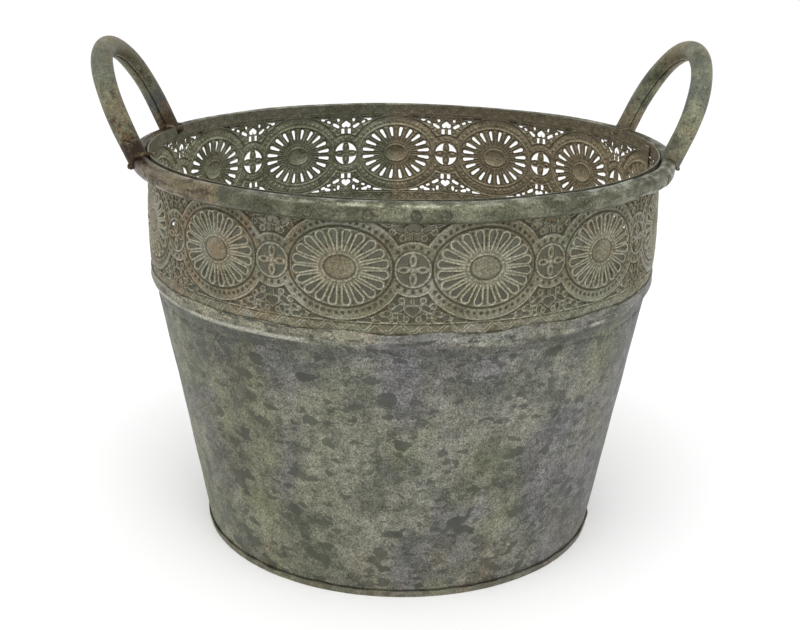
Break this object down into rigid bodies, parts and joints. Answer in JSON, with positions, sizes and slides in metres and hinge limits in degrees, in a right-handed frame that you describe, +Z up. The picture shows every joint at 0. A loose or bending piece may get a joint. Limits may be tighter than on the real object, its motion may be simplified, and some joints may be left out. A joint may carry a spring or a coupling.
{
  "type": "florist bucket",
  "caption": "Round tapered galvanised bucket with a stamped openwork band, a rolled rim hoop and tilted tube handles welded to the rim.",
  "frame": {"origin": "centre of the foot, on the plane that the bucket stands on", "axes": "+Z up along the bucket's axis; X runs through the two handles; -Y is the front"},
  "size_m": [0.2964, 0.2644, 0.2432],
  "materials": {
    "galvanised_wall": "aged galvanised zinc with dull spangle",
    "galvanised_base": "aged galvanised zinc",
    "stamped_zinc": "antiqued stamped zinc with dark recesses",
    "rim_zinc": "worn rolled zinc with rust stains",
    "handle_zinc": "worn rolled zinc tube",
    "rusty_weld": "rusted weld bead"
  },
  "bodies": {
    "root": {"body_wall": "galvanised_wall", "base_plate": "galvanised_base", "pierced_band": "stamped_zinc", "rim_hoop": "rim_zinc", "left_handle": "handle_zinc", "right_handle": "handle_zinc", "left_front_weld": "rusty_weld", "left_back_weld": "rusty_weld", "right_front_weld": "rusty_weld", "right_back_weld": "rusty_weld", "rim_rivets": "rim_zinc"}
  },
  "joints": []
}
